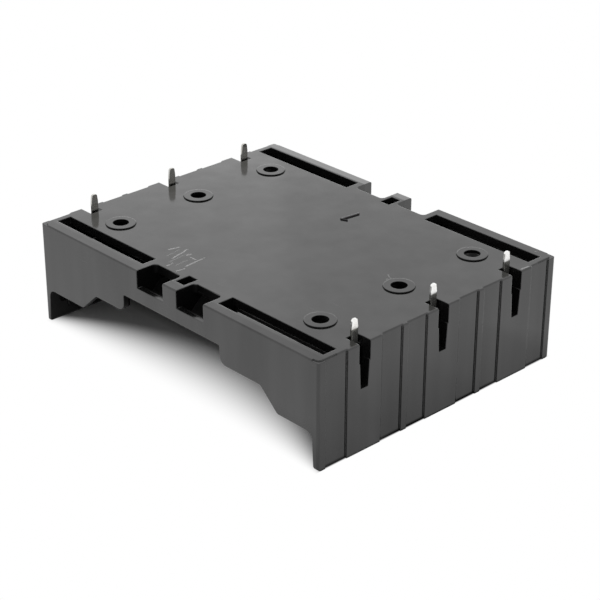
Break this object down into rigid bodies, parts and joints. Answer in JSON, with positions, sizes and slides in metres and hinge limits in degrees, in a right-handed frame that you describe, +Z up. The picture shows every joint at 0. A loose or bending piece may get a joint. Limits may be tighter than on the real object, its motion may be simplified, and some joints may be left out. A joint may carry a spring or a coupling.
{
  "type": "cylindrical cell holder",
  "caption": "Open rectangular moulded tray that holds cylindrical cells side by side, with screw rings and flat solder pins on its base face.",
  "frame": {"origin": "centre of the outline in plan, at the level of the rims that stand on the table", "axes": "+X along the cells, +Y across the bays, +Z up from the open side to the base face that carries the pins, as it lies in the picture"},
  "size_m": [0.077, 0.0606, 0.0246],
  "materials": {
    "black_plastic": "semi-gloss moulded",
    "plated_contact": "bright nickel plated"
  },
  "bodies": {
    "root": {"housing": "black_plastic", "contact_1": "plated_contact", "contact_2": "plated_contact", "contact_3": "plated_contact", "contact_4": "plated_contact", "contact_5": "plated_contact", "contact_6": "plated_contact"}
  },
  "joints": []
}
